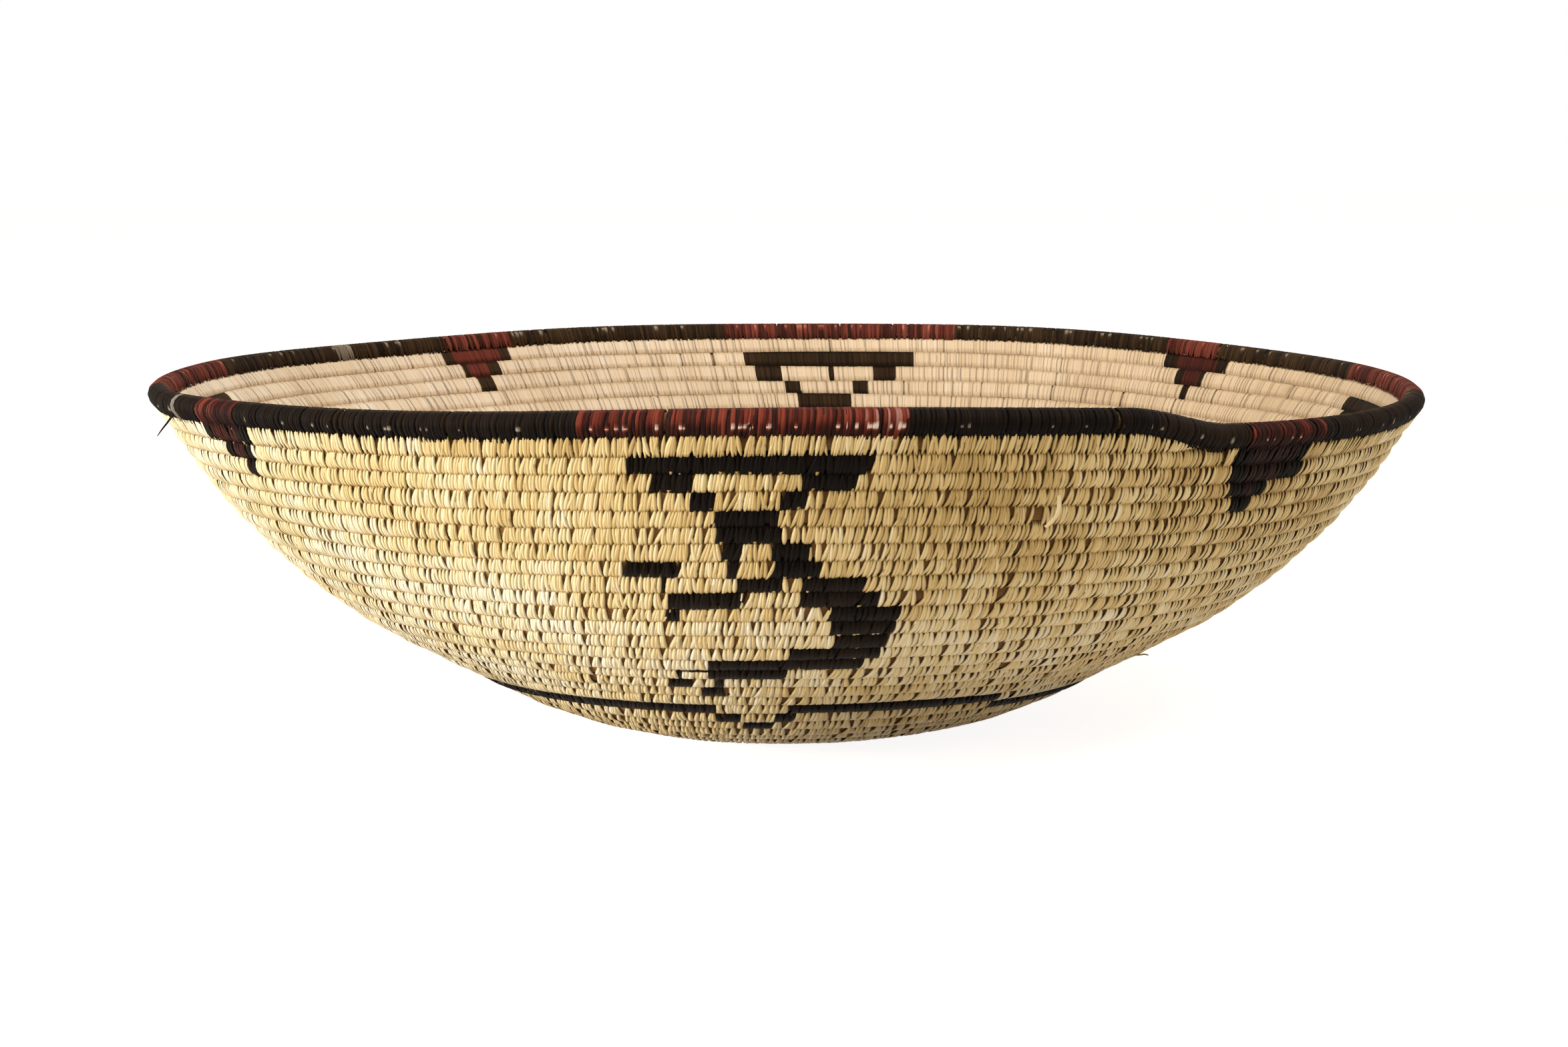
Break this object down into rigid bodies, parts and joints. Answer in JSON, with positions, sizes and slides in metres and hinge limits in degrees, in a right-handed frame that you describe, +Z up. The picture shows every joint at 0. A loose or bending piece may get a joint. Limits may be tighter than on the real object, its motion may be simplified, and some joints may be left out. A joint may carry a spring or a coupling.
{
  "type": "basket",
  "caption": "Wide shallow bowl of coiled basketry in straw, with black figures, a black line round the base and a black and red wrapped rim.",
  "frame": {"origin": "centre of the flat underside of the start knot, on the surface that the bowl stands on", "axes": "+Z up, along the bowl's axis; -Y towards the front, where the pictured figure faces; +X to the right seen from the front"},
  "size_m": [0.406, 0.4074, 0.121],
  "materials": {
    "straw_sewing": "matte",
    "black_sewing": "matte",
    "red_sewing": "matte",
    "foundation_stems": "matte"
  },
  "bodies": {
    "root": {"closing_course": "straw_sewing", "course_01": "straw_sewing", "course_02": "straw_sewing", "course_03": "straw_sewing", "course_04": "straw_sewing", "course_05": "straw_sewing", "course_06": "straw_sewing", "course_07": "straw_sewing", "course_08": "straw_sewing", "course_09": "straw_sewing", "course_10": "straw_sewing", "course_11": "straw_sewing", "course_12": "black_sewing", "course_13": "straw_sewing", "course_14": "straw_sewing", "course_15": "straw_sewing", "course_16": "straw_sewing", "course_17": "straw_sewing", "course_18": "straw_sewing", "course_19": "straw_sewing", "course_20": "straw_sewing", "course_21": "straw_sewing", "course_22": "straw_sewing", "course_23": "straw_sewing", "course_24": "straw_sewing", "course_25": "straw_sewing", "course_26": "straw_sewing", "course_27": "straw_sewing", "course_28": "straw_sewing", "course_29": "straw_sewing", "course_30": "straw_sewing", "loose_end_front_right": "straw_sewing", "loose_end_left": "black_sewing", "loose_end_low_right": "straw_sewing", "rim_stem_bundle": "foundation_stems", "rim_wrap_back_black_left": "black_sewing", "rim_wrap_back_black_right": "black_sewing", "rim_wrap_back_left_red": "red_sewing", "rim_wrap_back_red": "red_sewing", "rim_wrap_back_right_red": "red_sewing", "rim_wrap_front_black_left": "black_sewing", "rim_wrap_front_black_right": "black_sewing", "rim_wrap_front_left_red": "red_sewing", "rim_wrap_front_red": "red_sewing", "rim_wrap_front_right_red": "red_sewing", "rim_wrap_left_black_back": "black_sewing", "rim_wrap_left_black_front": "black_sewing", "rim_wrap_left_red": "red_sewing", "rim_wrap_right_black_back": "black_sewing", "rim_wrap_right_black_front": "black_sewing", "rim_wrap_right_red": "red_sewing", "start_knot": "straw_sewing"}
  },
  "joints": []
}
